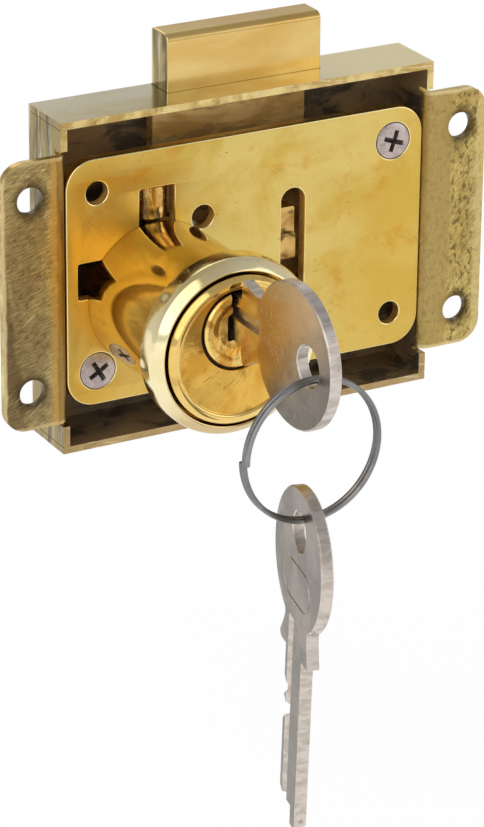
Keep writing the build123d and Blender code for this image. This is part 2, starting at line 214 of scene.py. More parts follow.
def softenedNode(node, width, weightOf=None, steps=2, splitHeight=None):
    # the CAD shape again, with its flats merged and a small round on every edge
    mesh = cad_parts[node].data.copy()
    bm = bmesh.new()
    bm.from_mesh(mesh)
    bmesh.ops.remove_doubles(bm, verts=bm.verts, dist=rounding["weldReach"])
    flatAngle = math.radians(rounding["flatBelow"])
    bmesh.ops.dissolve_limit(bm, angle_limit=flatAngle, verts=bm.verts, edges=bm.edges)
    if splitHeight is not None:
        parts = list(bm.verts) + list(bm.edges) + list(bm.faces)
        bmesh.ops.bisect_plane(
            bm, geom=parts, dist=rounding["splitReach"],
            plane_co=(0, 0, splitHeight * mm), plane_no=(0, 0, 1))
    for layer in list(bm.loops.layers.float_vector.values()):
        bm.loops.layers.float_vector.remove(layer)
    share = bm.edges.layers.float.new("bevel_weight_edge")
    roundAngle = math.radians(rounding["roundAbove"])
    for edge in bm.edges:
        if len(edge.link_faces) == 2 and edge.calc_face_angle(0.0) > roundAngle:
            middle = (edge.verts[0].co + edge.verts[1].co) / (2 * mm)
            edge[share] = weightOf(*middle) if weightOf else 1.0
    bm.to_mesh(mesh)
    bm.free()
    if "custom_normal" in mesh.attributes:
        mesh.attributes.remove(mesh.attributes["custom_normal"])
    mesh.polygons.foreach_set("use_smooth", [True] * len(mesh.polygons))
    thing = linkedObject("softened", mesh)
    bevel = thing.modifiers.new("edges", "BEVEL")
    bevel.width = width * mm
    bevel.segments = steps
    bevel.limit_method = "WEIGHT"
    bevel.material = 1
    shading = thing.modifiers.new("shading", "WEIGHTED_NORMAL")
    shading.weight = rounding["flatWeight"]
    mesh.materials.clear()
    mesh.materials.append(None)
    mesh.materials.append(None)
    return bakeDown(thing)


# small tools for materials
def tone(colour):
    # a screen colour, 0 to 255, as the shader wants it
    def linear(c):
        return ((c / 255 + 0.055) / 1.055) ** 2.4 if c > 10 else c / 255 / 12.92
    return (*map(linear, colour), 1.0)


def feed(tree, socket, value):
    if isinstance(value, bpy.types.NodeSocket):
        tree.links.new(value, socket)
    else:
        socket.default_value = value


def sums(tree, operation, *values):
    node = tree.nodes.new("ShaderNodeMath")
    node.operation = operation
    for socket, value in zip(node.inputs, values):
        feed(tree, socket, value)
    return node.outputs[0]


def vectorSums(tree, operation, *values):
    node = tree.nodes.new("ShaderNodeVectorMath")
    node.operation = operation
    for socket, value in zip(node.inputs, values):
        feed(tree, socket, value)
    return node.outputs


def remap(tree, value, low, high, toLow=0.0, toHigh=1.0, smooth=False):
    node = tree.nodes.new("ShaderNodeMapRange")
    if smooth:
        node.interpolation_type = "SMOOTHSTEP"
    labels = ("Value", "From Min", "From Max", "To Min", "To Max")
    for label, amount in zip(labels, (value, low, high, toLow, toHigh)):
        feed(tree, node.inputs[label], amount)
    return node.outputs[0]


def blendTones(tree, factor, first, second):
    node = tree.nodes.new("ShaderNodeMix")
    node.data_type = "RGBA"
    feed(tree, node.inputs[0], factor)
    feed(tree, node.inputs[6], first)
    feed(tree, node.inputs[7], second)
    return node.outputs[2]


def noise(tree, spot, scale, detail=4.0, rough=0.55, distortion=0.0):
    node = tree.nodes.new("ShaderNodeTexNoise")
    labels = ("Vector", "Scale", "Detail", "Roughness", "Distortion")
    for label, amount in zip(labels, (spot, scale, detail, rough, distortion)):
        feed(tree, node.inputs[label], amount)
    return node.outputs[0]


def objectSpot(tree, stretch=None):
    # where a point lies on the object, each direction scaled if that is asked for
    spot = tree.nodes.new("ShaderNodeTexCoord").outputs["Object"]
    return spot if stretch is None else vectorSums(tree, "MULTIPLY", spot, stretch)[0]


def turnedSpot(tree, angle):
    node = tree.nodes.new("ShaderNodeVectorRotate")
    node.rotation_type = "Y_AXIS"
    feed(tree, node.inputs["Vector"], objectSpot(tree))
    feed(tree, node.inputs["Angle"], angle)
    return node.outputs[0]


def makeGroup(groupName, inputs, outputLabel):
    # gives the group and its inputs by name
    tree = bpy.data.node_groups.new(groupName, "ShaderNodeTree")
    for label, value in inputs.items():
        kind = "NodeSocketVector" if isinstance(value, tuple) else "NodeSocketFloat"
        socket = tree.interface.new_socket(label, in_out="INPUT", socket_type=kind)
        socket.default_value = value
    tree.interface.new_socket(outputLabel, in_out="OUTPUT", socket_type="NodeSocketFloat")
    return tree, tree.nodes.new("NodeGroupInput").outputs


def endGroup(tree, value):
    tree.links.new(value, tree.nodes.new("NodeGroupOutput").inputs[0])
    return tree


# effects that several finishes share, each one a node group
def stainAndReflectionPatches():
    # soft-edged stains and random tone changes; on the left side walls these patches are painted
    # reflection streaks
    tree, given = makeGroup(
        "stainAndReflectionPatches", {"Scale": 80.0, "Stretch": (1, 1, 1), "Low": 0.45, "High": 0.65}, "Mask")
    spot = objectSpot(tree, given["Stretch"])
    driftAndReflection = noise(tree, spot, given["Scale"], detail=6.0, rough=0.6, distortion=0.4)
    return endGroup(tree, remap(tree, driftAndReflection, given["Low"], given["High"], smooth=True))


def hairScratches():
    # hair-thin scratches along one direction, broken into short lengths
    tree, given = makeGroup(
        "hairScratches", {"Scale": 300.0, "Angle": 0.6, "Width": 0.015, "Cover": 0.5}, "Mask")
    drawnOut = vectorSums(tree, "MULTIPLY", turnedSpot(tree, given["Angle"]), (1.0, 1.0, 0.06))[0]
    hairs = noise(tree, drawnOut, given["Scale"], detail=3.0, rough=0.6, distortion=0.3)
    offCentre = sums(tree, "ABSOLUTE", sums(tree, "SUBTRACT", hairs, 0.5))
    thin = remap(tree, offCentre, 0.0, given["Width"], toLow=1.0, toHigh=0.0, smooth=True)
    breaks = noise(tree, objectSpot(tree), scale=190.0, detail=2.0)
    coverEnd = sums(tree, "ADD", given["Cover"], 0.08)
    kept = remap(tree, breaks, given["Cover"], coverEnd, smooth=True)
    return endGroup(tree, sums(tree, "MULTIPLY", thin, kept))


def brushLines():
    # lines left by rolling, grinding or plating
    tree, given = makeGroup(
        "brushLines", {"Scale": 500.0, "Stretch": (0.05, 1, 1), "Angle": 0.0}, "Value")
    turned = turnedSpot(tree, given["Angle"])
    drawnOut = vectorSums(tree, "MULTIPLY", turned, given["Stretch"])[0]
    return endGroup(tree, noise(tree, drawnOut, given["Scale"], detail=3.0, rough=0.7))


def towardSide():
    # how far a place lies along a direction, with a ragged front
    tree, given = makeGroup(
        "towardSide", {"Axis": (1, 0, 0), "Start": 0.0, "End": 0.01, "Waver": 0.002}, "Mask")
    along = vectorSums(tree, "DOT_PRODUCT", objectSpot(tree), given["Axis"])["Value"]
    uneven = noise(tree, objectSpot(tree), scale=300.0)
    ripple = remap(tree, uneven, 0.3, 0.7, toLow=-1.0, toHigh=1.0)
    wavered = sums(tree, "MULTIPLY_ADD", ripple, given["Waver"], along)
    return endGroup(tree, remap(tree, wavered, given["Start"], given["End"], smooth=True))


def holeGrime():
    # grime that gathers round the ears' four holes, full close by and blotched further out
    tree, given = makeGroup(
        "holeGrime", {"Centre": (0.04, 0, 0.0165), "Near": 0.0022, "Far": 0.0046}, "Mask")
    folded = vectorSums(tree, "ABSOLUTE", objectSpot(tree, (1, 0, 1)))[0]
    gap = vectorSums(tree, "DISTANCE", folded, given["Centre"])["Value"]
    close = remap(tree, gap, given["Near"], given["Far"], toLow=1.0, toHigh=0.0, smooth=True)
    blotch = remap(tree, noise(tree, objectSpot(tree), scale=420.0, rough=0.6), 0.42, 0.6)
    filled = sums(tree, "MAXIMUM", blotch, sums(tree, "MULTIPLY", close, 0.9))
    return endGroup(tree, sums(tree, "MULTIPLY", close, filled))


def latheRings():
    # rings left by the lathe round an axis that runs along Y
    tree, given = makeGroup(
        "latheRings", {"Centre": (0, 0, 0), "Scale": 2500.0}, "Value")
    away = vectorSums(tree, "SUBTRACT", objectSpot(tree, (1, 0, 1)), given["Centre"])[0]
    joined = tree.nodes.new("ShaderNodeCombineXYZ")
    tree.links.new(vectorSums(tree, "LENGTH", away)["Value"], joined.inputs[0])
    rings = noise(tree, joined.outputs[0], given["Scale"], detail=2.0, rough=0.6)
    return endGroup(tree, rings)


def darkSpecks():
    # small pits and dark specks of mixed size, gathered in places
    tree, given = makeGroup(
        "darkSpecks", {"Scale": 900.0, "Size": 0.22, "Cover": 0.55}, "Mask")
    cells = tree.nodes.new("ShaderNodeTexVoronoi")
    feed(tree, cells.inputs["Vector"], objectSpot(tree))
    feed(tree, cells.inputs["Scale"], given["Scale"])
    coarse = noise(tree, objectSpot(tree), scale=900.0, detail=2.0)
    mixed = remap(tree, coarse, 0.42, 0.68, toLow=0.1, toHigh=1.3)
    reach = sums(tree, "MULTIPLY", given["Size"], mixed)
    dots = remap(tree, cells.outputs["Distance"], 0.0, reach, toLow=1.0, toHigh=0.0, smooth=True)
    where = noise(tree, objectSpot(tree), scale=240.0, detail=3.0)
    coverEnd = sums(tree, "ADD", given["Cover"], 0.1)
    gathered = remap(tree, where, given["Cover"], coverEnd, smooth=True)
    return endGroup(tree, sums(tree, "MULTIPLY", dots, gathered))


effects = {
    "stainAndReflectionPatches": stainAndReflectionPatches(), "hairScratches": hairScratches(), "brushLines": brushLines(),
    "towardSide": towardSide(), "holeGrime": holeGrime(), "latheRings": latheRings(),
    "darkSpecks": darkSpecks()}
print("shared effects built:", len(effects))


def place(tree, effect, setting):
    # an effect's node in a material, its inputs set in their own order
    node = tree.nodes.new("ShaderNodeGroup")
    node.node_tree = effects[effect]
    for socket, value in zip(node.inputs, setting):
        socket.default_value = value
    return node.outputs[0]


# what is the same in every finish, and the marks in the order in which they are laid
wear = {
    "grainRange": (0.4, 0.62), "scratchRough": 0.12, "speckDepth": 0.5, "usualWaver": 0.0015,
    "waveRange": (0.2, 0.8)}
markEffects = {
    "stainAndReflection": "stainAndReflectionPatches", "grime": "holeGrime", "hair": "hairScratches", "speck": "darkSpecks"}


def layTint(tree, colour, tint, mask, amount=1.0):
    share = mask if amount == 1.0 else sums(tree, "MULTIPLY", mask, amount)
    return blendTones(tree, share, colour, tone(tint))


def layBands(tree, colour, bands):
    # a band is a tint, a direction, where it starts and is full, its strength and its waver
    for tint, axis, start, end, amount, *waver in bands:
        setting = (axis, start, end, waver[0] if waver else wear["usualWaver"])
        colour = layTint(tree, colour, tint, place(tree, "towardSide", setting), amount)
    return colour


def metalFinish(finishName, look):
    # colours are laid from the bare metal outward; heights are pairs of a value and its depth
    material = bpy.data.materials.new(finishName)
    material.use_nodes = True
    tree = material.node_tree
    shader = tree.nodes["Principled BSDF"]
    shader.inputs["Metallic"].default_value = look.get("metal", 1.0)
    colour, rough, heights = tone(look["main"]), look["rough"], []
    if "driftAndReflection" in look:
        tint, *setting = look["driftAndReflection"]
        colour = layTint(tree, colour, tint, place(tree, "stainAndReflectionPatches", setting))
    colour = layBands(tree, colour, look.get("sides", []))
    if "grain" in look:
        tint, *setting, amount = look["grain"]
        lines = remap(tree, place(tree, "brushLines", setting), *wear["grainRange"], toHigh=amount)
        colour = layTint(tree, colour, tint, lines)
    masks = {}
    for key, effect in markEffects.items():
        if key in look:
            tint, *setting, amount = look[key]
            masks[key] = place(tree, effect, setting)
            colour = layTint(tree, colour, tint, masks[key], amount)
    # bands laid over all marks: pale worn rims that are partly a painted highlight, and the left
    # ear's painted highlight and shade at its fold
    colour = layBands(tree, colour, look.get("cleanAndPaintedLightBands", []))
    if "stainAndReflection" in masks:
        rough = sums(tree, "MULTIPLY_ADD", masks["stainAndReflection"], look["stainAndReflectionRough"], rough)
    if "hair" in masks:
        rough = sums(tree, "MULTIPLY_ADD", masks["hair"], wear["scratchRough"], rough)
        heights.append((masks["hair"], -look["hairDepth"]))
    if "speck" in masks:
        heights.append((masks["speck"], -wear["speckDepth"]))
    for key, effect in (("lathe", "latheRings"), ("brush", "brushLines")):
        if key in look:
            *setting, amount, depth = look[key]
            lines = place(tree, effect, setting)
            rough = sums(tree, "MULTIPLY_ADD", lines, amount, rough)
            heights.append((lines, depth))
    if "wave" in look:
        scale, depth = look["wave"]
        setting = (scale, (1, 1, 1), *wear["waveRange"])
        heights.append((place(tree, "stainAndReflectionPatches", setting), depth))
    feed(tree, shader.inputs["Base Color"], colour)
    feed(tree, shader.inputs["Roughness"], rough)
    if heights:
        bump = tree.nodes.new("ShaderNodeBump")
        bump.inputs["Strength"].default_value = 1.0
        bump.inputs["Distance"].default_value = look["bump"] * mm
        height = 0.0
        for value, depth in heights:
            height = sums(tree, "MULTIPLY_ADD", value, depth, height)
        tree.links.new(height, bump.inputs["Height"])
        tree.links.new(bump.outputs[0], shader.inputs["Normal"])
    return material


# finishes, in screen colours from 0 to 255; an effect's numbers stand in the order of its node
# group's inputs, after its tint and before its strength or what it adds to roughness and height
plugAxis = (-16.7 * mm, 0, 0)
barrelAxis = (-16.7 * mm, 0, -3.7 * mm)
finishLooks = {
    "plateBrass": {
        "main": (219, 194, 114), "rough": 0.37, "stainAndReflectionRough": 0.05, "bump": 0.03,
        "driftAndReflection": ((206, 170, 76), 60.0, (1, 1, 1.3), 0.4, 0.66),
        "sides": [
            ((216, 178, 78), (1, 0, -0.3), 0.012, 0.03, 0.6),
            ((220, 172, 70), (-1, 0, 0), 0.012, 0.027, 0.6)],
        "stainAndReflection": ((208, 146, 48), 190.0, (1, 1, 1), 0.54, 0.74, 0.5),
        "hair": ((150, 118, 58), 520.0, 0.9, 0.01, 0.6, 0.35), "hairDepth": 0.5,
        "speck": ((96, 72, 32), 1500.0, 0.3, 0.47, 0.7), "wave": (150.0, 0.7)},
    "plateEdge": {
        "main": (228, 180, 96), "rough": 0.28, "stainAndReflectionRough": 0.2, "metal": 0.5,
        "stainAndReflection": ((150, 86, 30), 260.0, (1, 1, 1), 0.46, 0.66, 0.75)},
    "earLeft": {
        "main": (222, 202, 140), "rough": 0.38, "stainAndReflectionRough": 0.1, "bump": 0.07,
        "driftAndReflection": ((184, 162, 110), 90.0, (1, 1, 0.5), 0.4, 0.6),
        "sides": [
            ((160, 138, 98), (-1, 0, 0), 0.0366, 0.0385, 0.35),
            ((104, 82, 50), (-1, 0, -0.15), 0.0436, 0.0448, 0.6, 0.0008)],
        "grain": ((96, 76, 50), 3400.0, (1, 1, 0.16), -1.25, 0.66),
        "stainAndReflection": ((104, 84, 58), 760.0, (1.2, 1, 0.7), 0.54, 0.64, 0.4),
        "grime": ((64, 50, 38), 0.85), "hair": ((236, 216, 158), 520.0, 2.2, 0.014, 0.55, 0.5),
        "hairDepth": 0.7, "speck": ((70, 54, 36), 1400.0, 0.3, 0.5, 0.6), "wave": (260.0, 0.8),
        # the golden band and the dark band next to the wall are a painted highlight and painted
        # shade on the fold's round; the pale bands on the rims are worn edges, partly a painted
        # highlight
        "cleanAndPaintedLightBands": [
            ((218, 168, 80), (1, 0, 0), -0.037, -0.0358, 0.65, 0.0004),
            ((124, 100, 58), (1, 0, 0), -0.0356, -0.035, 0.6, 0.0002),
            ((236, 216, 166), (-1, 0, 0), 0.0442, 0.0447, 0.9, 0.0002),
            ((220, 196, 140), (0, 0, 1), 0.0222, 0.0227, 0.7, 0.0002),
            ((220, 196, 140), (0, 0, -1), 0.0222, 0.0227, 0.7, 0.0002)]},
    "earRight": {
        "main": (230, 206, 126), "rough": 0.38, "stainAndReflectionRough": 0.1, "bump": 0.07,
        "driftAndReflection": ((206, 180, 104), 90.0, (1, 1, 0.5), 0.4, 0.62),
        "sides": [
            ((160, 134, 76), (1, 0, 0), 0.0388, 0.0408, 0.35),
            # the pale band at the outer edge is a worn rim, partly a painted highlight
            ((226, 204, 146), (1, 0, 0), 0.0428, 0.044, 0.5)],
        "grain": ((112, 88, 54), 3000.0, (1, 1, 0.2), -0.85, 0.55),
        "stainAndReflection": ((84, 66, 42), 1200.0, (1.1, 1, 0.7), 0.5, 0.62, 0.65),
        "grime": ((58, 44, 30), 0.9), "hair": ((240, 222, 160), 520.0, 2.2, 0.016, 0.5, 0.6),
        "hairDepth": 0.7, "speck": ((60, 46, 28), 2000.0, 0.34, 0.44, 0.8), "wave": (260.0, 0.8),
        "cleanAndPaintedLightBands": [
            # darker along the fold; the pale rim bands after it are worn edges, partly a painted
            # highlight
            ((172, 146, 88), (-1, 0, 0), -0.0392, -0.0378, 0.8, 0.0004),
            ((214, 192, 130), (1, 0, 0), 0.0431, 0.0437, 0.6, 0.0006),
            ((226, 206, 150), (0, 0, 1), 0.0222, 0.0227, 0.7, 0.0002),
            ((226, 206, 150), (0, 0, -1), 0.0222, 0.0227, 0.7, 0.0002)]},
    "caseOutside": {
        "main": (216, 207, 176), "rough": 0.16, "stainAndReflectionRough": 0.18, "bump": 0.02,
        "driftAndReflection": ((200, 182, 132), 45.0, (1, 1, 1), 0.4, 0.65),
        "sides": [((255, 238, 184), (1, 0, 0), -0.006, 0.026, 1.0)],
        "stainAndReflection": ((146, 124, 78), 170.0, (1, 1, 1), 0.62, 0.82, 0.4),
        "hair": ((238, 226, 184), 300.0, 0.2, 0.008, 0.58, 0.3), "hairDepth": 0.4,
        "wave": (90.0, 0.8)},
    # painted reflection: the left side walls' dark main tone and their pale and dark streaks stand
    # in for reflected surroundings; the hair scratches are real
    "sideReflectionBrass": {
        "main": (152, 134, 84), "rough": 0.16, "stainAndReflectionRough": 0.14, "bump": 0.02,
        "driftAndReflection": ((206, 196, 156), 330.0, (0.1, 1, 0.1), 0.47, 0.6),
        "stainAndReflection": ((66, 50, 28), 300.0, (0.1, 1, 0.12), 0.47, 0.6, 0.75),
        "hair": ((200, 188, 140), 300.0, 0.2, 0.008, 0.58, 0.3), "hairDepth": 0.4},
    "caseInside": {
        "main": (158, 132, 92), "rough": 0.34, "stainAndReflectionRough": 0.2, "bump": 0.06, "metal": 0.35,
        "driftAndReflection": ((116, 101, 82), 80.0, (0.6, 1, 1.6), 0.4, 0.6),
        # the lighter band towards the upper left inside the case is a painted highlight
        "sides": [((196, 150, 92), (-1, 0, 0.3), 0.012, 0.036, 0.5)],
        "stainAndReflection": ((58, 52, 46), 130.0, (1, 1, 2.2), 0.48, 0.6, 0.8),
        "hair": ((188, 150, 96), 260.0, 0.1, 0.01, 0.54, 0.4), "hairDepth": 0.5,
        "speck": ((30, 24, 20), 900.0, 0.25, 0.48, 0.8), "wave": (160.0, 1.0)},
    # painted shade: a dark colour for the bore, the keyway's walls and floors and the plug's hidden
    # side, where shade falls
    "paintedShadeBore": {
        "main": (58, 42, 24), "rough": 0.6, "stainAndReflectionRough": 0.1, "metal": 0.2,
        "stainAndReflection": ((22, 16, 12), 700.0, (1, 1, 1), 0.45, 0.6, 0.8)},
    "caseEdge": {
        "main": (224, 201, 138), "rough": 0.26, "stainAndReflectionRough": 0.2, "bump": 0.06,
        "driftAndReflection": ((186, 156, 92), 180.0, (1, 1, 1), 0.4, 0.6),
        "sides": [((164, 138, 100), (0, 0, -1), 0.014, 0.026, 0.75)],
        "stainAndReflection": ((136, 106, 60), 700.0, (1, 1, 1), 0.56, 0.7, 0.5),
        "hair": ((246, 232, 190), 420.0, 1.4, 0.02, 0.45, 0.5), "hairDepth": 0.6},
    "tailBrass": {
        "main": (244, 206, 132), "rough": 0.34, "stainAndReflectionRough": 0.16, "bump": 0.04, "metal": 0.35,
        "driftAndReflection": ((206, 160, 86), 90.0, (0.6, 1, 2.2), 0.42, 0.58),
        "stainAndReflection": ((142, 116, 76), 140.0, (0.7, 1, 2.0), 0.52, 0.6, 0.6),
        "speck": ((50, 40, 28), 900.0, 0.25, 0.5, 0.8), "brush": (700.0, (0.06, 1, 1), 0.1, 0.6)},
    "polishedBrass": {
        "main": (240, 208, 128), "rough": 0.09, "stainAndReflectionRough": 0.12, "bump": 0.012,
        "driftAndReflection": ((226, 182, 90), 50.0, (1, 1, 1), 0.4, 0.65),
        "stainAndReflection": ((160, 104, 40), 150.0, (1, 0.5, 1), 0.56, 0.76, 0.5),
        "hair": ((190, 150, 80), 380.0, 0.5, 0.008, 0.56, 0.3), "hairDepth": 0.5,
        "lathe": (barrelAxis, 3200.0, 0.04, 0.4), "wave": (120.0, 1.0)},
    "roseBrass": {
        "main": (248, 234, 188), "rough": 0.1, "stainAndReflectionRough": 0.12, "bump": 0.014,
        "driftAndReflection": ((236, 214, 152), 60.0, (1, 1, 1), 0.4, 0.65),
        "stainAndReflection": ((180, 150, 96), 210.0, (1, 1, 1), 0.6, 0.8, 0.4),
        "hair": ((206, 182, 128), 380.0, 0.5, 0.008, 0.56, 0.3), "hairDepth": 0.5,
        # darker towards the bottom: painted shade
        "sides": [((200, 170, 118), (0, 0, -1), 0.0085, 0.0165, 0.8)],
        "speck": ((70, 58, 34), 420.0, 0.12, 0.64, 0.8), "lathe": (barrelAxis, 3200.0, 0.04, 0.4),
        "wave": (120.0, 0.8)},
    "faceBrass": {
        "main": (228, 182, 88), "rough": 0.17, "stainAndReflectionRough": 0.16, "bump": 0.03,
        "driftAndReflection": ((210, 156, 62), 140.0, (1, 1, 1), 0.42, 0.6),
        "stainAndReflection": ((130, 84, 30), 230.0, (1, 1, 1), 0.56, 0.7, 0.65),
        "hair": ((120, 80, 30), 420.0, 2.2, 0.012, 0.5, 0.5), "hairDepth": 0.6,
        "lathe": (barrelAxis, 2600.0, 0.08, 0.5), "wave": (190.0, 1.6)},
    "plugBrass": {
        "main": (246, 212, 126), "rough": 0.15, "stainAndReflectionRough": 0.18, "bump": 0.05,
        "driftAndReflection": ((216, 162, 70), 190.0, (1, 1, 1), 0.42, 0.6),
        "stainAndReflection": ((120, 78, 30), 300.0, (1, 1, 1), 0.54, 0.7, 0.6),
        "lathe": (plugAxis, 2400.0, 0.08, 0.4), "wave": (420.0, 1.8)},
    "boltBrass": {
        "main": (224, 193, 122), "rough": 0.16, "stainAndReflectionRough": 0.1, "bump": 0.015,
        "driftAndReflection": ((212, 173, 98), 60.0, (0.5, 1, 1.6), 0.4, 0.65),
        "stainAndReflection": ((186, 146, 84), 300.0, (1, 1, 1), 0.64, 0.8, 0.4),
        "brush": (700.0, (0.04, 1, 1), 0.06, 0.5), "speck": ((120, 84, 42), 700.0, 0.14, 0.6, 0.7)},
    "boltEdge": {
        "main": (240, 220, 156), "rough": 0.14, "stainAndReflectionRough": 0.1,
        "stainAndReflection": ((176, 138, 78), 300.0, (1, 1, 1), 0.58, 0.78, 0.5)},
    "innerBrass": {
        "main": (216, 176, 106), "rough": 0.34, "stainAndReflectionRough": 0.2, "bump": 0.05,
        "driftAndReflection": ((156, 116, 60), 140.0, (1, 1, 1), 0.42, 0.62),
        "stainAndReflection": ((70, 50, 28), 260.0, (1, 1, 1.6), 0.54, 0.7, 0.8),
        "brush": (900.0, (1, 0.06, 1), 0.12, 0.8)},
    "blockBrass": {
        "main": (250, 214, 136), "rough": 0.16, "stainAndReflectionRough": 0.3, "bump": 0.06,
        "driftAndReflection": ((200, 156, 84), 220.0, (1, 1, 1), 0.42, 0.6),
        # the dark bands at the block's left and right are painted reflections of its dark
        # surroundings
        "sides": [
            ((64, 52, 38), (-1, 0, 0), 0.0172, 0.0186, 0.85),
            ((70, 52, 36), (1, 0, 0), -0.0158, -0.0148, 0.7)],
        "stainAndReflection": ((40, 30, 20), 420.0, (1, 1, 0.6), 0.5, 0.64, 0.9),
        "hair": ((240, 216, 150), 600.0, 0.3, 0.02, 0.44, 0.6), "hairDepth": 0.6,
        "wave": (420.0, 1.0)},
    "pinBrass": {
        "main": (214, 178, 104), "rough": 0.28, "stainAndReflectionRough": 0.2, "bump": 0.03,
        "stainAndReflection": ((130, 94, 50), 400.0, (1, 1, 1), 0.5, 0.7, 0.5),
        "brush": (1500.0, (0.1, 0.1, 1), 0.15, 0.8)},
    "keyNickel": {
        "main": (143, 132, 121), "rough": 0.22, "stainAndReflectionRough": 0.14, "bump": 0.03,
        "driftAndReflection": ((115, 106, 96), 110.0, (1, 1, 1), 0.42, 0.6),
        "sides": [((122, 115, 107), (0, 0, -1), 0.042, 0.052, 0.6)],
        "stainAndReflection": ((110, 101, 92), 260.0, (1, 1, 1), 0.58, 0.76, 0.5),
        "hair": ((226, 218, 208), 620.0, 0.3, 0.012, 0.5, 0.35), "hairDepth": 0.7,
        "brush": (1100.0, (1, 0.08, 1), 0.12, 0.8),
        "speck": ((84, 74, 62), 1300.0, 0.2, 0.56, 0.7)},
    "bowWearAndReflection": {
        "main": (130, 121, 110), "rough": 0.2, "stainAndReflectionRough": 0.14, "bump": 0.03,
        "driftAndReflection": ((114, 106, 96), 90.0, (1, 1, 1), 0.4, 0.62),
        # the warm brass bands on the bow's upper part and on the stub by the plug are a painted
        # reflection of the brass lock, partly worn plating that shows brass; the last band turns
        # the blade inside the plug back to nickel
        "sides": [
            ((216, 184, 138), (0, 0.6, 0.8), -0.032, -0.019, 0.75),
            ((228, 200, 146), (0, 1, 0), -0.036, -0.0335, 0.9),
            ((160, 152, 143), (0, 1, 0), -0.0284, -0.0272, 0.95)],
        "stainAndReflection": ((118, 104, 90), 260.0, (1, 1, 1), 0.58, 0.76, 0.45),
        "hair": ((232, 222, 208), 620.0, 0.3, 0.012, 0.5, 0.35), "hairDepth": 0.7,
        "brush": (1100.0, (1, 0.08, 1), 0.12, 0.8),
        "speck": ((84, 74, 62), 1300.0, 0.2, 0.56, 0.7)},
    "keyRim": {
        "main": (214, 204, 195), "rough": 0.26, "stainAndReflectionRough": 0.2, "bump": 0.05,
        "driftAndReflection": ((192, 181, 170), 700.0, (0.3, 1, 1), 0.42, 0.6),
        "stainAndReflection": ((116, 105, 95), 1500.0, (0.5, 1, 1), 0.6, 0.68, 0.4),
        "speck": ((70, 62, 54), 1500.0, 0.24, 0.5, 0.7), "brush": (1600.0, (0.1, 1, 1), 0.15, 1.0)},
    # the cross recess is darker than the head: painted shade
    "recessShadeZinc": {
        "main": (116, 106, 98), "rough": 0.4, "stainAndReflectionRough": 0.1, "metal": 0.2,
        "stainAndReflection": ((54, 48, 42), 900.0, (1, 1, 1), 0.45, 0.6, 0.7)},
    "screwZinc": {
        "main": (194, 179, 173), "rough": 0.36, "stainAndReflectionRough": 0.15, "bump": 0.04,
        "driftAndReflection": ((174, 160, 156), 700.0, (1, 1, 1), 0.4, 0.6),
        "stainAndReflection": ((120, 108, 98), 900.0, (1, 1, 1), 0.56, 0.7, 0.5),
        "hair": ((228, 218, 210), 600.0, 1.1, 0.012, 0.52, 0.4), "hairDepth": 0.6,
        "speck": ((80, 70, 62), 2600.0, 0.3, 0.5, 0.6)},
    "ringSteel": {
        "main": (150, 150, 149), "rough": 0.24, "bump": 0.02,
        "driftAndReflection": ((128, 127, 126), 130.0, (1, 1, 1), 0.4, 0.6),
        "brush": (1400.0, (1, 0.2, 1), 0.15, 0.6)},
    "springSteel": {
        "main": (168, 166, 162), "rough": 0.3, "stainAndReflectionRough": 0.15, "bump": 0.02,
        "stainAndReflection": ((110, 104, 98), 400.0, (1, 1, 1), 0.5, 0.7, 0.6),
        "brush": (1400.0, (0.1, 0.1, 1), 0.12, 0.6)},
}
finishes = {finishName: metalFinish(finishName, look) for finishName, look in finishLooks.items()}
print("finishes built:", len(finishes))


# camera: the angles and distances that the photograph was taken from
photoCamera = {
    "azimuth": 29.10, "elevation": 23.43, "roll": 0.57, "focalPixels": 3764.1,
    "originDepth": 619.4, "originPixel": (250.12, 256.66), "pictureSize": (484, 827),
    "sensorSize": 36.0, "seesFrom": 0.02, "seesTo": 20.0}


def makeCamera(look):
    az, el, roll = (math.radians(look[key]) for key in ("azimuth", "elevation", "roll"))
    forward = Vector((math.sin(az) * math.cos(el), math.cos(az) * math.cos(el), -math.sin(el)))
    right = Vector((math.cos(az), -math.sin(az), 0))
    up = right.cross(forward)
    rightRolled = math.cos(roll) * right + math.sin(roll) * up
    upRolled = -math.sin(roll) * right + math.cos(roll) * up
    perPixel = look["originDepth"] / look["focalPixels"]
    wide, high = look["pictureSize"]
    across = (look["originPixel"][0] - wide / 2) * perPixel
    above = (high / 2 - look["originPixel"][1]) * perPixel
    spot = -(look["originDepth"] * forward + across * rightRolled + above * upRolled) * mm
    cameraData = bpy.data.cameras.new("photoCamera")
    cameraData.sensor_width = look["sensorSize"]
    cameraData.lens = look["focalPixels"] / high * look["sensorSize"]
    cameraData.clip_start = look["seesFrom"]
    cameraData.clip_end = look["seesTo"]
    turned = Matrix((rightRolled, upRolled, -forward)).transposed().to_4x4()
    turned.translation = spot
    scene.camera = linkedObject("photoCamera", cameraData)
    scene.camera.matrix_world = turned


# studio: pale floor, grey room, big soft lamps
studio = {
    "floorHeight": -0.16, "floorSize": 6.0, "floorTone": (0.8, 0.8, 0.8, 1), "floorGlow": 0.44,
    "roomLow": (0.7, 0.7, 0.7, 1), "roomHigh": (0.42, 0.42, 0.43, 1), "roomFade": (-0.1, 0.9),
    # a lamp's place, what it points at, its width and its power
    "lamps": {
        "keyLamp": ((-1.4, -1.3, 1.2), (0, 0, -0.01), 2.5, 16.0),
        "fillLamp": ((1.5, -1.3, 0.6), (0, 0, -0.02), 1.5, 5.0),
        "rimLamp": ((0.3, 1.6, 1.2), (0, 0, 0), 1.2, 4.5)}}


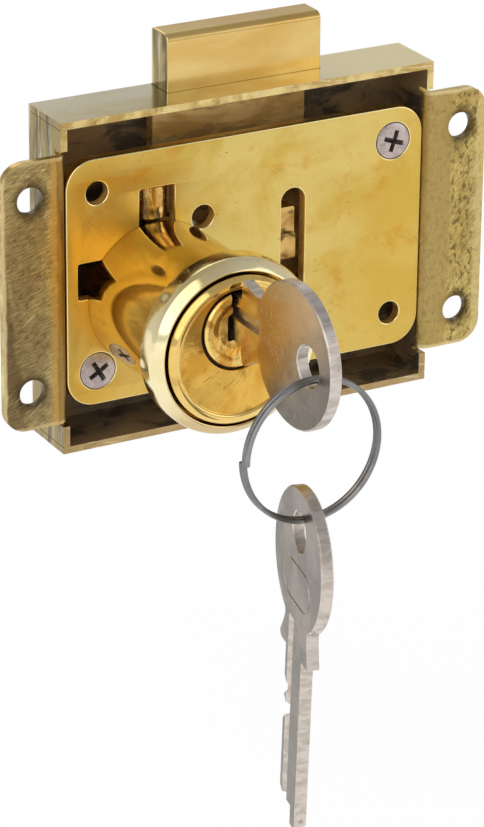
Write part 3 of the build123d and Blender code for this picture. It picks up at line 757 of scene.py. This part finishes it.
def makeFloor(look):
    half = look["floorSize"] / 2
    mesh = bpy.data.meshes.new("floor")
    corners = [(-half, -half, 0), (half, -half, 0), (half, half, 0), (-half, half, 0)]
    mesh.from_pydata(corners, [], [(0, 1, 2, 3)])
    floor = linkedObject("floor", mesh)
    floor.location.z = look["floorHeight"]
    material = bpy.data.materials.new("paleFloor")
    material.use_nodes = True
    tree = material.node_tree
    tree.nodes.clear()
    diffuse = tree.nodes.new("ShaderNodeBsdfDiffuse")
    diffuse.inputs["Color"].default_value = look["floorTone"]
    # the glow is for the camera and for reflections; it lights nothing
    glow = tree.nodes.new("ShaderNodeEmission")
    path = tree.nodes.new("ShaderNodeLightPath")
    seen = sums(tree, "MAXIMUM", path.outputs["Is Camera Ray"], path.outputs["Is Glossy Ray"])
    seen = sums(tree, "MAXIMUM", seen, path.outputs["Is Transmission Ray"])
    tree.links.new(sums(tree, "MULTIPLY", seen, look["floorGlow"]), glow.inputs["Strength"])
    both = tree.nodes.new("ShaderNodeAddShader")
    output = tree.nodes.new("ShaderNodeOutputMaterial")
    tree.links.new(diffuse.outputs[0], both.inputs[0])
    tree.links.new(glow.outputs[0], both.inputs[1])
    tree.links.new(both.outputs[0], output.inputs["Surface"])
    mesh.materials.append(material)


def makeRoom(look):
    world = bpy.data.worlds.new("room")
    scene.world = world
    world.use_nodes = True
    tree = world.node_tree
    coords = tree.nodes.new("ShaderNodeTexCoord")
    parts = tree.nodes.new("ShaderNodeSeparateXYZ")
    tree.links.new(coords.outputs["Generated"], parts.inputs[0])
    rise = remap(tree, parts.outputs["Z"], *look["roomFade"])
    shade = blendTones(tree, rise, look["roomLow"], look["roomHigh"])
    tree.links.new(shade, tree.nodes["Background"].inputs["Color"])


def hangLamps(look):
    for lampName, (spot, aim, size, power) in look["lamps"].items():
        data = bpy.data.lights.new(lampName, "AREA")
        data.shape = "DISK"
        data.size = size
        data.energy = power
        lamp = linkedObject(lampName, data)
        lamp.location = spot
        lamp.rotation_euler = (Vector(aim) - Vector(spot)).to_track_quat("-Z", "Y").to_euler()


makeCamera(photoCamera)
makeFloor(studio)
makeRoom(studio)
hangLamps(studio)
scene.view_settings.view_transform = "Standard"
print("camera and studio made")


# folded case with its ears; its zones say which finish a face gets
case = {
    "halfWidth": 34.5, "halfHeight": 28.5, "depth": 12.5, "sheet": 1.2,
    "edgeRound": 0.36, "roundSteps": 3, "shareOnHole": 0.5, "shareOnFront": 1.0, "shareInside": 0.3,
    "earHole": (40.0, 16.5), "holeEdge": 2.6, "holeFaces": 2.9,  # the holes mirror each other
    "earFrom": 36.0, "earFront": 1.3, "earHigh": 23.4, "earSlack": (0.1, 0.35),
    "earRim": (44.0, 22.0), "rimFacing": 0.3, "leftFacing": -0.9,
    "skin": 0.3, "backBend": (1.3, 1.4), "frontEdge": 0.05, "lipFrom": 22.9, "lipDeep": 5.0,
    "finishes": ["caseOutside", "earLeft", "caseInside", "caseEdge", "sideReflectionBrass", "earRight"]}


def fromEarHole(x, z):
    holeX, holeZ = case["earHole"]
    return math.hypot(abs(x) - holeX, abs(z) - holeZ)


def caseRound(x, y, z):
    # full width on the open front's edges, less on seams, holes and the bolt's way out
    if fromEarHole(x, z) < case["holeEdge"]:
        return case["shareOnHole"]
    if abs(y) < case["frontEdge"] or (abs(x) > case["earFrom"] and y < case["earFront"]):
        return case["shareOnFront"]
    return case["shareInside"]


def caseFinish(face, x, y, z):
    side, top, back, wall = (case[key] for key in ("halfWidth", "halfHeight", "depth", "sheet"))
    earFinish = "earLeft" if x < 0 else "earRight"
    wide, high = abs(x), abs(z)
    if face.material_index == 1:  # a rounded edge
        return earFinish if fromEarHole(x, z) < case["holeFaces"] else "caseEdge"
    slackX, slackY = case["earSlack"]
    if wide > side - wall - slackX and y < wall + slackY and high < case["earHigh"]:
        rimX, rimZ = case["earRim"]
        onRim = abs(face.normal.y) < case["rimFacing"] and (wide > rimX or high > rimZ)
        return "caseEdge" if onRim else earFinish
    skin = case["skin"]
    bendAcross, bendDeep = case["backBend"]
    outside = wide > side - skin or high > top - skin or y > back - skin
    onBend = y > back - bendDeep and (wide > side - bendAcross or high > top - bendAcross)
    if outside or onBend:
        # outer walls facing left get the painted reflection streaks
        return "sideReflectionBrass" if face.normal.x < case["leftFacing"] else "caseOutside"
    front = case["frontEdge"]
    onLip = wide > side - wall - front and high > case["lipFrom"] and y < case["lipDeep"]
    return "caseEdge" if y < front or onLip else "caseInside"


def makeCase(look):
    mesh = softenedNode("case", look["edgeRound"], caseRound, look["roundSteps"])
    addPiece("caseShell", mesh, "lock", "case", look["finishes"], caseFinish)


# cap plate; one outline is the barrel's hole with both of its notches
plate = {
    "width": 66.4, "height": 42.5, "front": 1.0, "back": 3.0, "corner": 5.0, "edge": 0.22,
    "hole": (-16.7, -3.7, 12.15), "topNotch": (3.2, 14.6), "leftNotch": (-31.05, -2.5, 3.7),
    "notchCorner": 0.5, "notchSteps": 5, "smoothBelow": 40,
    # centre x, centre z and radius: three plain holes, then the two of the cap screws
    "roundHoles": [
        (-27.6, 15.4, 1.95), (27.6, -15.4, 1.95), (-8.3, 8.1, 2.0),
        (27.6, 15.4, 3.2), (-27.6, -15.4, 3.2)],
    "slot": (8.6, -1.8, 4.4, 24.0, 2.19),
    "flatFacing": 0.98, "rimWithin": 0.3, "cornerWithin": 0.35,
    "finishes": ["plateBrass", "plateEdge", "boltEdge"]}


def plateHole(look):
    cx, cz, radius = look["hole"]
    half, notchTop = look["topNotch"]
    left, low, high = look["leftNotch"]
    corner, steps = look["notchCorner"], look["notchSteps"]

    def angleAt(x, z):
        return math.degrees(math.atan2(z - cz, x - cx))

    foot = cz + math.sqrt(radius ** 2 - half ** 2)
    highX = cx - math.sqrt(radius ** 2 - (high - cz) ** 2)
    lowX = cx - math.sqrt(radius ** 2 - (low - cz) ** 2)
    startRight, startLeft = angleAt(cx + half, foot), angleAt(cx - half, foot)
    highAngle, lowAngle = angleAt(highX, high), angleAt(lowX, low)
    hole = circleOutline(cx, cz, radius, 90, lowAngle, startRight + 360 - lowAngle)
    topNotch = [hole[-1], (cx + half, notchTop), (cx - half, notchTop), (cx - half, foot)]
    hole += softenCorners(topNotch, corner, steps, False)[1:]
    hole += circleOutline(cx, cz, radius, 16, startLeft, highAngle - startLeft)[1:]
    leftNotch = [(highX, high), (left, high), (left, low), (lowX, low)]
    hole += softenCorners(leftNotch, corner, steps, False)[1:-1]
    return hole


def plateFinish(face, x, y, z):
    # flats and outer walls are the plate's own brass, front edges pale, hole walls orange
    corner, near = plate["corner"], plate["rimWithin"]
    edgeFrom = plate["front"] + plate["edge"]
    pastX = abs(x) - plate["width"] / 2 + corner
    pastZ = abs(z) - plate["height"] / 2 + corner
    onCorner = math.hypot(pastX, pastZ) > corner - plate["cornerWithin"]
    outer = max(pastX, pastZ) > corner - near or (min(pastX, pastZ) > 0 and onCorner)
    if abs(face.normal.y) > plate["flatFacing"] or (outer and y > edgeFrom):
        return "plateBrass"
    return "boltEdge" if y < edgeFrom else "plateEdge"


def makePlate(look):
    outlines = [
        roundedBox(0, 0, look["width"], look["height"], look["corner"], 16), plateHole(look)]
    outlines += [circleOutline(*hole) for hole in look["roundHoles"]]
    outlines.append(roundedBox(*look["slot"], 14))
    stock = sheetFromOutlines(outlines, look["front"], look["back"], look["edge"])
    mesh = shadeByAngle(stock, look["smoothBelow"])
    addPiece("capPlate", mesh, "lock", "cap_plate", look["finishes"], plateFinish)


makeCase(case)
makePlate(plate)
print("case and plate made")


# cylinder body: outer profile on the barrel's axis, bore on the plug's axis, as radius and y
barrel = {
    "axisX": -16.7, "barrelZ": -3.7, "plugZ": 0.0, "segments": 192, "smoothBelow": 24,
    "outer": [
        (10.2, -26.95), (10.6, -26.95), (10.95, -27.3), (11.7, -27.3), (12.5, -26.5),
        (12.5, 1.0), (12.1, 1.0), (12.1, 4.4), (11.0, 4.4)],
    "cornerRound": 0.22, "roundSteps": 4,
    "bore": [(6.45, 4.4), (6.45, -26.4), (6.8, -26.4), (6.8, -26.7), (6.95, -26.95)],
    "faceZone": (10.7, -26.6), "boreZone": (6.85, -26.85),
    "finishes": ["polishedBrass", "faceBrass", "paintedShadeBore"]}


def barrelFinish(face, x, y, z):
    boreReach, boreFront = barrel["boreZone"]
    faceReach, faceBack = barrel["faceZone"]
    # the bore behind the plug gets painted shade
    if math.hypot(x - barrel["axisX"], z - barrel["plugZ"]) < boreReach and y > boreFront:
        return "paintedShadeBore"
    onFace = math.hypot(x - barrel["axisX"], z - barrel["barrelZ"]) < faceReach and y < faceBack
    return "faceBrass" if onFace else "polishedBrass"


def makeBarrel(look):
    outer = softenCorners(look["outer"], look["cornerRound"], look["roundSteps"], False)
    circles = [(look["axisX"], look["barrelZ"], r, y) for r, y in outer]
    circles += [(look["axisX"], look["plugZ"], r, y) for r, y in look["bore"]]
    mesh = shadeByAngle(loftCircles(circles, look["segments"]), look["smoothBelow"])
    addPiece(
        "barrel", mesh, "lock", "cylinder_body", look["finishes"], barrelFinish)


# ring in front of the drawer, a turned profile on the barrel's axis
rose = {
    "segments": 192, "smoothBelow": 24, "cornerRound": 0.25, "roundSteps": 4,
    "profile": [
        (12.56, -21.1), (14.6, -21.1), (14.9, -21.4), (14.9, -24.5), (14.62, -25.2),
        (13.25, -26.4), (12.95, -26.25), (12.95, -24.0), (12.56, -23.7)]}


def makeRose(look):
    profile = softenCorners(look["profile"], look["cornerRound"], look["roundSteps"])
    circles = [(barrel["axisX"], barrel["barrelZ"], r, y) for r, y in profile]
    mesh = shadeByAngle(loftCircles(circles, look["segments"]), look["smoothBelow"])
    addPiece("roseRing", mesh, "rose", "rose_ring", ["roseBrass"])


# plug: a turned profile, then three cuts, each an outline about the plug's axis with two depths
plug = {
    "segments": 128, "smoothBelow": 24, "cornerRound": 0.15, "roundSteps": 3,
    "profile": [
        (0.05, -26.0), (2.2, -26.03), (3.6, -26.3), (4.9, -27.15), (5.4, -27.3), (6.0, -27.3),
        (6.4, -26.95), (6.4, 4.55), (3.0, 4.55), (3.0, 6.5), (2.4, 6.5), (2.4, 7.1), (3.0, 7.1),
        (3.0, 7.3), (0.05, 7.3)],
    "keyway": ([
        (-1.14, 7.2), (-1.14, 4.24), (-0.37, 3.84), (-0.37, 2.36), (-1.14, 1.96), (-1.14, -1.92),
        (1.14, -1.92), (1.14, -0.64), (0.42, -0.24), (0.42, 1.14), (1.14, 1.54), (1.14, 7.2)],
        -28.5, 0.33),
    "mouth": ([
        (-1.7, 7.45), (-1.7, 4.1), (-0.95, 3.66), (-0.95, 2.54), (-1.7, 2.1), (-1.7, -2.12),
        (0.1, -2.12), (0.1, 7.45)],
        -28.9, -24.9),
    "tailFlat": ([(2.3, -4), (7, -4), (7, 4), (2.3, 4)], 4.6, 8.0),
    "coreReach": 6.3, "keywayHalf": 1.75, "keywayBack": 4.0, "wallFacing": 0.3, "floorFrom": -25.0,
    "sideSpan": (-26.8, 4.4), "finishes": ["plugBrass", "paintedShadeBore"]}


def plugFinish(face, x, y, z):
    # the walls and floors of the keyway and the plug's hidden side get painted shade
    aside = abs(x - barrel["axisX"])
    reach = math.hypot(aside, z)
    core = plug["coreReach"]
    within = aside < plug["keywayHalf"] and reach < core and y < plug["keywayBack"]
    onWall = abs(face.normal.y) < plug["wallFacing"] or y > plug["floorFrom"]
    onSide = reach > core and plug["sideSpan"][0] < y < plug["sideSpan"][1]
    return "paintedShadeBore" if (within and onWall) or onSide else "plugBrass"


def makePlug(look):
    ax = barrel["axisX"]
    cutters = []
    for outline, start, end in (look["keyway"], look["mouth"], look["tailFlat"]):
        cutters.append(prism([(ax + x, z) for x, z in outline], start, end))
    mesh = cutAway(turnedSolid(look, ax, 0), cutters)
    shadeByAngle(mesh, look["smoothBelow"])
    addPiece("plugTurned", mesh, "plug", "plug", look["finishes"], plugFinish)


makeBarrel(barrel)
makeRose(rose)
makePlug(plug)
print("cylinder made")


# cap screws: raised head with a cross recess; each has its node, its x and z, and its turn
screws = {
    "capScrewUpper": ("cap_screw_upper", 27.6, 15.4, -19.0),
    "capScrewLower": ("cap_screw_lower", -27.6, -15.4, 31.5)}
screwShape = {
    "profile": [
        (0.05, 0.68), (1.0, 0.7), (2.0, 0.8), (2.9, 0.98), (3.15, 1.08), (1.42, 2.62),
        (1.42, 6.6), (1.0, 7.2), (0.05, 7.2)],
    "segments": 64, "cornerRound": 0.12, "roundSteps": 2, "smoothBelow": 30,
    "crossArm": 2.1, "crossWidth": 0.45, "crossSpan": (0.4, 2.5), "crossTaper": 0.5,
    "recessReach": 2.2, "recessSpan": (0.9, 2.6), "finishes": ["screwZinc", "recessShadeZinc"]}


def makeScrew(pieceName, node, x, z, turnBy, look):
    def screwFinish(face, faceX, faceY, faceZ):
        # faces down in the cross get the recess's painted shade
        deep = look["recessSpan"][0] < faceY < look["recessSpan"][1]
        inCross = deep and math.hypot(faceX - x, faceZ - z) < look["recessReach"]
        return "recessShadeZinc" if inCross else "screwZinc"

    arm, width = look["crossArm"], look["crossWidth"]
    cross = []
    for quarter in range(4):
        angle = math.radians(turnBy + 90 * quarter)
        c, s = math.cos(angle), math.sin(angle)
        for u, v in ((arm, width), (width, width), (width, arm)):
            cross.append((x + u * c - v * s, z + u * s + v * c))
    cutter = prism(cross, *look["crossSpan"], look["crossTaper"], (x, z))
    mesh = cutAway(turnedSolid(look, x, z), [cutter])
    shadeByAngle(mesh, look["smoothBelow"])
    addPiece(pieceName, mesh, "lock", node, look["finishes"], screwFinish)


for pieceName, (node, x, z, turnBy) in screws.items():
    makeScrew(pieceName, node, x, z, turnBy, screwShape)
print("screws made")


# bolt, its stud, the keys and two small parts keep their CAD shape with softer edges;
# a row is the piece, its body, its slot, the edge's width, and finishes for flats and edges
softened = {
    "bolt": ("boltBar", "bolt", "bolt_brass", 0.12, "boltBrass", "boltEdge"),
    "bolt_stud": ("boltStud", "bolt", "inner_brass", 0.1, "innerBrass", "boltEdge"),
    "key_inserted": ("keyInserted", "key", "key_nickel", 0.14, "bowWearAndReflection", "keyRim"),
    "key_spare": ("keySpare", "spare", "key_nickel", 0.14, "keyNickel", "keyRim"),
    "stop_block": ("stopBlock", "lock", "inner_brass", 0.12, "blockBrass", "blockBrass"),
    "retaining_clip": ("retainingClip", "lock", "spring_steel", 0.08, "springSteel", "springSteel"),
}
keyFlats = {"depth": 0.35, "facing": 0.9}
boltZones = {"tailBelow": 28.4, "sideFacing": -0.95}
finishPlace = {"edge": 1, "tail": 2, "side": 3}


def brightenRim(mesh):
    # a key's milled edges and grooves are bright, its two broad flats are not
    across = max(mesh.polygons, key=lambda face: face.area).normal.copy()
    heights = [vert.co.dot(across) for vert in mesh.vertices]
    middle, half = (max(heights) + min(heights)) / 2, (max(heights) - min(heights)) / 2
    for face in mesh.polygons:
        below = half - abs(face.center.dot(across) - middle)
        if abs(face.normal.dot(across)) < keyFlats["facing"] or below > keyFlats["depth"] * mm:
            face.material_index = finishPlace["edge"]


def tarnishTail(mesh):
    # the tail inside the case is tarnished, and the bolt's left side gets the case side walls'
    # painted reflection streaks
    for face in mesh.polygons:
        if face.center.z < boltZones["tailBelow"] * mm:
            face.material_index = finishPlace["tail"]
        elif face.normal.x < boltZones["sideFacing"]:
            face.material_index = finishPlace["side"]


for node, (pieceName, body, slotName, edge, flatFinish, edgeFinish) in softened.items():
    isBolt = node == "bolt"
    mesh = softenedNode(node, edge, splitHeight=boltZones["tailBelow"] if isBolt else None)
    if isBolt:
        tarnishTail(mesh)
    if node.startswith("key"):
        brightenRim(mesh)
    finishNames = [flatFinish, edgeFinish, "tailBrass", "sideReflectionBrass"]
    addPiece(pieceName, mesh, body, node, finishNames)
print("bolt, keys and small parts made")


# split ring: turns of wire side by side, both ends at the left
splitRing = {
    "centre": (-16.7, -49.775, -11.72), "radius": 11.72, "pitch": 0.9, "wire": 0.43,
    "turns": 2, "perTurn": 120, "roundness": 6, "smoothBelow": 50}


def makeSplitRing(look):
    cx, cy, cz = look["centre"]
    curve = bpy.data.curves.new("wire", "CURVE")
    curve.dimensions = "3D"
    spline = curve.splines.new("POLY")
    total = look["turns"] * look["perTurn"]
    spline.points.add(total)
    for k, point in enumerate(spline.points):
        angle = 2 * math.pi * k / look["perTurn"]
        x = cx - look["radius"] * math.cos(angle)
        z = cz + look["radius"] * math.sin(angle)
        y = cy + look["pitch"] * (2 * k / total - 1)
        point.co = (x * mm, y * mm, z * mm, 1)
    curve.bevel_depth = look["wire"] * mm
    curve.bevel_resolution = look["roundness"]
    curve.use_fill_caps = True
    wire = cleanMesh(bakeDown(linkedObject("wire", curve)))
    mesh = shadeByAngle(wire, look["smoothBelow"])
    addPiece("splitRing", mesh, "ring", "split_ring", ["ringSteel"])


makeSplitRing(splitRing)
print("split ring made")


# the rest of the works keep their CAD meshes; a node goes by the start of its name
worksFinish = {
    "post": "innerBrass", "cam_clip": "springSteel", "cam": "innerBrass",
    "drive_pin": "screwZinc", "key_pin": "pinBrass", "driver_pin": "pinBrass",
    "pin_spring": "springSteel", "chamber_plug": "pinBrass"}
for node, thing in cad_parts.items():
    for start, finishName in worksFinish.items():
        if node.startswith(start) and not thing.hide_render:
            thing.data.materials.clear()
            thing.data.materials.append(finishes[finishName])
            break
print("works finished")
